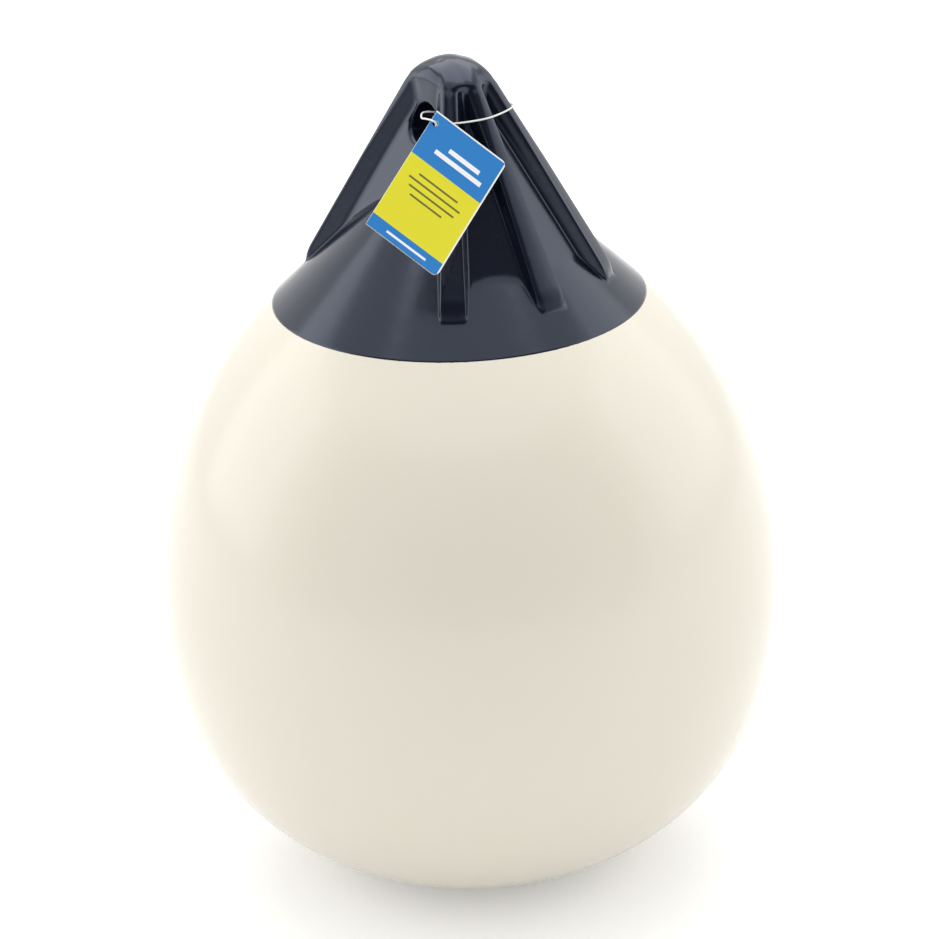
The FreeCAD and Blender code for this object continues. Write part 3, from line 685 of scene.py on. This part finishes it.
string = {
    "route": [    # millimetres: the points of the plain tube, moved out to where the photo has them
        (16.4, 29.6, 550.9), (11.8, 27.2, 550.7), (7.8, 18.6, 550.4), (6.4, 5.0, 550.8),
        (5.6, -9.5, 551.8), (9.6, -19.0, 553.0), (10.4, -26.0, 555.4), (11.7, -33.0, 556.5),
        (18.8, -38.5, 555.3), (29.9, -42.5, 558.7), (38.4, -42.5, 559.4), (37.3, -39.1, 556.2),
        (34.0, -37.9, 552.9), (30.5, -30.1, 552.5), (36.9, -21.8, 552.5), (42.6, -5.2, 552.9),
        (42.6, 5.2, 553.2), (36.5, 21.5, 552.8), (30.2, 29.6, 552.2), (24.6, 32.2, 551.4),
        (20.9, 31.9, 551.2)],
    "diameter": 1.2,
    "length": 190.0,
}

knot = {
    "turns": 2.6,
    "wrapRadius": 1.05,
    "wrapLength": 3.2,
    "strandRadius": 0.6,
    "tip": 0.5,                       # how far a strand's end stands out, in radii
    "tail": [(19.0, 31.2, 550.6), (20.6, 33.6, 549.0), (21.2, 35.0, 546.0), (20.8, 35.6, 542.6)],
    "steps": (70, 6, 24),             # along the wrap, the core and the tail
    "sides": 10,
    "aside": (0.31, -0.17, 0.94),     # a direction that no strand runs in
}


def cottonTwine():
    # bleached cotton twine: matt, with a fuzz of fibres, drawn 0.4 mm wide (scale 2500), coarser
    # than they are, so that it shows
    material, tree = newMaterial("twistedCottonTwine")
    place = addNode(tree, "TexCoord")
    grain = addNode(tree, "TexNoise", inputs={"Scale": 2500.0, "Detail": 2.0},
                    links=[("Vector", place, "Object")])
    bump = addNode(tree, "Bump", inputs={"Strength": 0.35, "Distance": 0.0001},
                   links=[("Height", grain, "Fac")])
    body = addNode(tree, "BsdfPrincipled", inputs={"Base Color": hexColor("f0efec"),
                                                   "Roughness": 0.8},
                   links=[("Normal", bump, "Normal")])
    addNode(tree, "OutputMaterial", links=[(0, body, 0)])
    return material


def strand(path):
    # a tube: circles square to a path, all started on the same side of it, closed at both ends
    # by a point that stands out a little
    radius, sides = knot["strandRadius"], knot["sides"]
    step = np.gradient(path, axis=0)
    step /= np.linalg.norm(step, axis=1, keepdims=True)
    first = np.cross(step, knot["aside"])
    first /= np.linalg.norm(first, axis=1, keepdims=True)
    second = np.cross(step, first)
    turn = np.linspace(0, 2 * pi, sides, endpoint=False)[None, :, None]
    rings = path[:, None] \
        + radius * (first[:, None] * np.cos(turn) + second[:, None] * np.sin(turn))
    ends = np.array([path[0] - step[0] * radius * knot["tip"],
                     path[-1] + step[-1] * radius * knot["tip"]])
    numbers = np.arange(len(path) * sides).reshape(-1, sides)
    return np.concatenate([rings.reshape(-1, 3), ends]), [
        gridFaces(numbers)[:, ::-1], fanFaces(numbers.size, numbers[0], turned=True),
        fanFaces(numbers.size + 1, numbers[-1])]


def knotMesh():
    # three strands: a helix wound about the line between the string's two ends, that line, and
    # a tail on a cubic Bezier arc
    start, end = np.array(string["route"][0]), np.array(string["route"][-1])
    axis = (end - start) / np.linalg.norm(end - start)
    side = np.cross(axis, (0, 0, 1))
    side /= np.linalg.norm(side)
    rise = np.cross(side, axis)
    wrapWay, coreWay, way = (np.linspace(0, 1, count)[:, None] for count in knot["steps"])
    turn = 2 * pi * knot["turns"] * wrapWay
    wrap = (start + end) / 2 + axis * knot["wrapLength"] * (wrapWay - 0.5) \
        + knot["wrapRadius"] * (side * np.cos(turn) + rise * np.sin(turn))
    core = start + (end - start) * coreWay
    shares = (1 - way) ** 3, 3 * way * (1 - way) ** 2, 3 * way ** 2 * (1 - way), way ** 3
    tail = sum(share * corner for share, corner in zip(shares, np.array(knot["tail"])))
    points, groups = np.empty((0, 3)), []
    for path in (wrap, core, tail):
        spots, faces = strand(path)
        groups += [group + len(points) for group in faces]
        points = np.concatenate([points, spots])
    return newMesh("stringKnot", points, groups)


def makeKnot(material):
    mesh = knotMesh()
    mesh.materials.append(material)
    piece = addObject("stringKnot", mesh)
    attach(piece, "root")
    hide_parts("string_knot")
    return piece


def makeString():
    curve = bpy.data.curves.new("tagString", "CURVE")
    curve.dimensions = "3D"
    curve.bevel_depth = string["diameter"] / 2 * mm
    curve.bevel_resolution = 3
    curve.resolution_u = 12
    spline = curve.splines.new("NURBS")
    route = np.array(string["route"]) * mm
    spline.points.add(len(route) - 1)
    spline.points.foreach_set("co", np.c_[route, np.ones(len(route))].ravel())
    spline.order_u = 3
    spline.use_endpoint_u = True
    piece = addObject("tagString", curve)
    twine = cottonTwine()
    curve.materials.append(twine)
    tied = makeKnot(twine)
    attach(piece, "root")
    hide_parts("tag_string")


makeString()
print("string laid")


# Floor, lamps and world

studio = {
    "floorSize": 6.4,
    "floorColor": "f4f4f4",
    "floorGlow": 0.28,
    "lamps": [    # name, place, aim, width, height, watts
        ("topLamp", (-0.75, 0.5, 2.9), (0, 0, 0.3), 3.2, 3.2, 52),
        ("leftLamp", (-2.0, -1.9, 1.35), (0, 0, 0.4), 2.2, 2.3, 18),
        ("rightLamp", (1.0, 2.6, 1.5), (0, 0, 0.4), 2.6, 2.4, 15),
    ],
    "softStrength": 0.76,
    "gapFacing": (0.823, -0.568, 0.0),    # the unlit gap that the ribs' faces mirror
    "gapAcross": (0.2, 0.5),              # cosines off that direction, and sines of elevations,
    "gapLow": (-0.5, 0.35),               # between which each of its edges fades
    "gapHigh": (0.66, 0.74),
    "gapDepth": 0.92,
}
white = hexColor("ffffff")


def shownRays(tree):
    # 1 for the rays that show a surface or a background as such: the camera's, mirrored, passed on
    light = addNode(tree, "LightPath")
    mirrored = addNode(tree, "Math", {"operation": "MAXIMUM"},
                       links=[(0, light, "Is Camera Ray"), (1, light, "Is Glossy Ray")])
    return addNode(tree, "Math", {"operation": "MAXIMUM"},
                   links=[(0, mirrored, 0), (1, light, "Is Transmission Ray")])


def whiteSweep():
    # plain white paper: white to the camera and in reflections, and it still takes a soft shadow
    material, tree = newMaterial("whiteSweep")
    paint = addNode(tree, "BsdfDiffuse", inputs={"Color": hexColor(studio["floorColor"])})
    glow = addNode(tree, "Emission", inputs={"Color": white, "Strength": studio["floorGlow"]})
    shown = addNode(tree, "AddShader", links=[(0, paint, 0), (1, glow, 0)])
    mix = addNode(tree, "MixShader",
                  links=[("Fac", shownRays(tree), 0), (1, paint, 0), (2, shown, 0)])
    addNode(tree, "OutputMaterial", links=[(0, mix, 0)])
    return material


def studioWorld():
    # a soft light for what is matt, white with one unlit gap where it is mirrored, and plain
    # white to the camera
    world = bpy.data.worlds.new("studio")
    world.use_nodes = True
    tree = world.node_tree
    tree.nodes.clear()
    way = addNode(tree, "TexCoord")
    rise = addNode(tree, "SeparateXYZ", links=[(0, way, "Generated")])
    facing = addNode(tree, "VectorMath", {"operation": "DOT_PRODUCT"}, {1: studio["gapFacing"]},
                     [(0, way, "Generated")])
    gap = None
    for source, socket, (low, high), (start, end) in (
            (facing, "Value", studio["gapAcross"], (0, 1)), (rise, "Z", studio["gapLow"], (0, 1)),
            (rise, "Z", studio["gapHigh"], (1, 0))):
        edge = addNode(tree, "MapRange", {"interpolation_type": "SMOOTHSTEP"},
                       {"From Min": low, "From Max": high, "To Min": start, "To Max": end},
                       [("Value", source, socket)])
        if gap is not None:
            edge = addNode(tree, "Math", {"operation": "MULTIPLY"},
                           links=[(0, gap, 0), (1, edge, 0)])
        gap = edge
    lit = addNode(tree, "MapRange", inputs={"To Min": 1.0, "To Max": 1 - studio["gapDepth"]},
                  links=[("Value", gap, 0)])
    diffuse = addNode(tree, "Background",
                      inputs={"Color": white, "Strength": studio["softStrength"]})
    mirrored = addNode(tree, "Background", inputs={"Color": white}, links=[("Strength", lit, 0)])
    mix = addNode(tree, "MixShader",
                  links=[("Fac", shownRays(tree), 0), (1, diffuse, 0), (2, mirrored, 0)])
    plain = addNode(tree, "Background", inputs={"Color": white, "Strength": 1.0})
    light = addNode(tree, "LightPath")
    view = addNode(tree, "MixShader",
                   links=[("Fac", light, "Is Camera Ray"), (1, mix, 0), (2, plain, 0)])
    addNode(tree, "OutputWorld", links=[(0, view, 0)])
    return world


def makeStudio():
    half = studio["floorSize"] / 2
    mesh = bpy.data.meshes.new("floor")
    mesh.from_pydata([(-half, -half, 0), (half, -half, 0), (half, half, 0), (-half, half, 0)],
                     [], [(0, 1, 2, 3)])
    mesh.materials.append(whiteSweep())
    addObject("floor", mesh)
    for name, spot, aim, width, height, watts in studio["lamps"]:
        lamp = bpy.data.lights.new(name, "AREA")
        lamp.shape = "RECTANGLE"
        lamp.size, lamp.size_y, lamp.energy = width, height, watts
        holder = addObject(name, lamp)
        holder.location = spot
        turn = (Vector(aim) - Vector(spot)).to_track_quat("-Z", "Y")
        holder.rotation_euler = turn.to_euler()
    bpy.context.scene.world = studioWorld()
    bpy.context.scene.view_settings.view_transform = "Standard"


makeStudio()
print("studio lit")
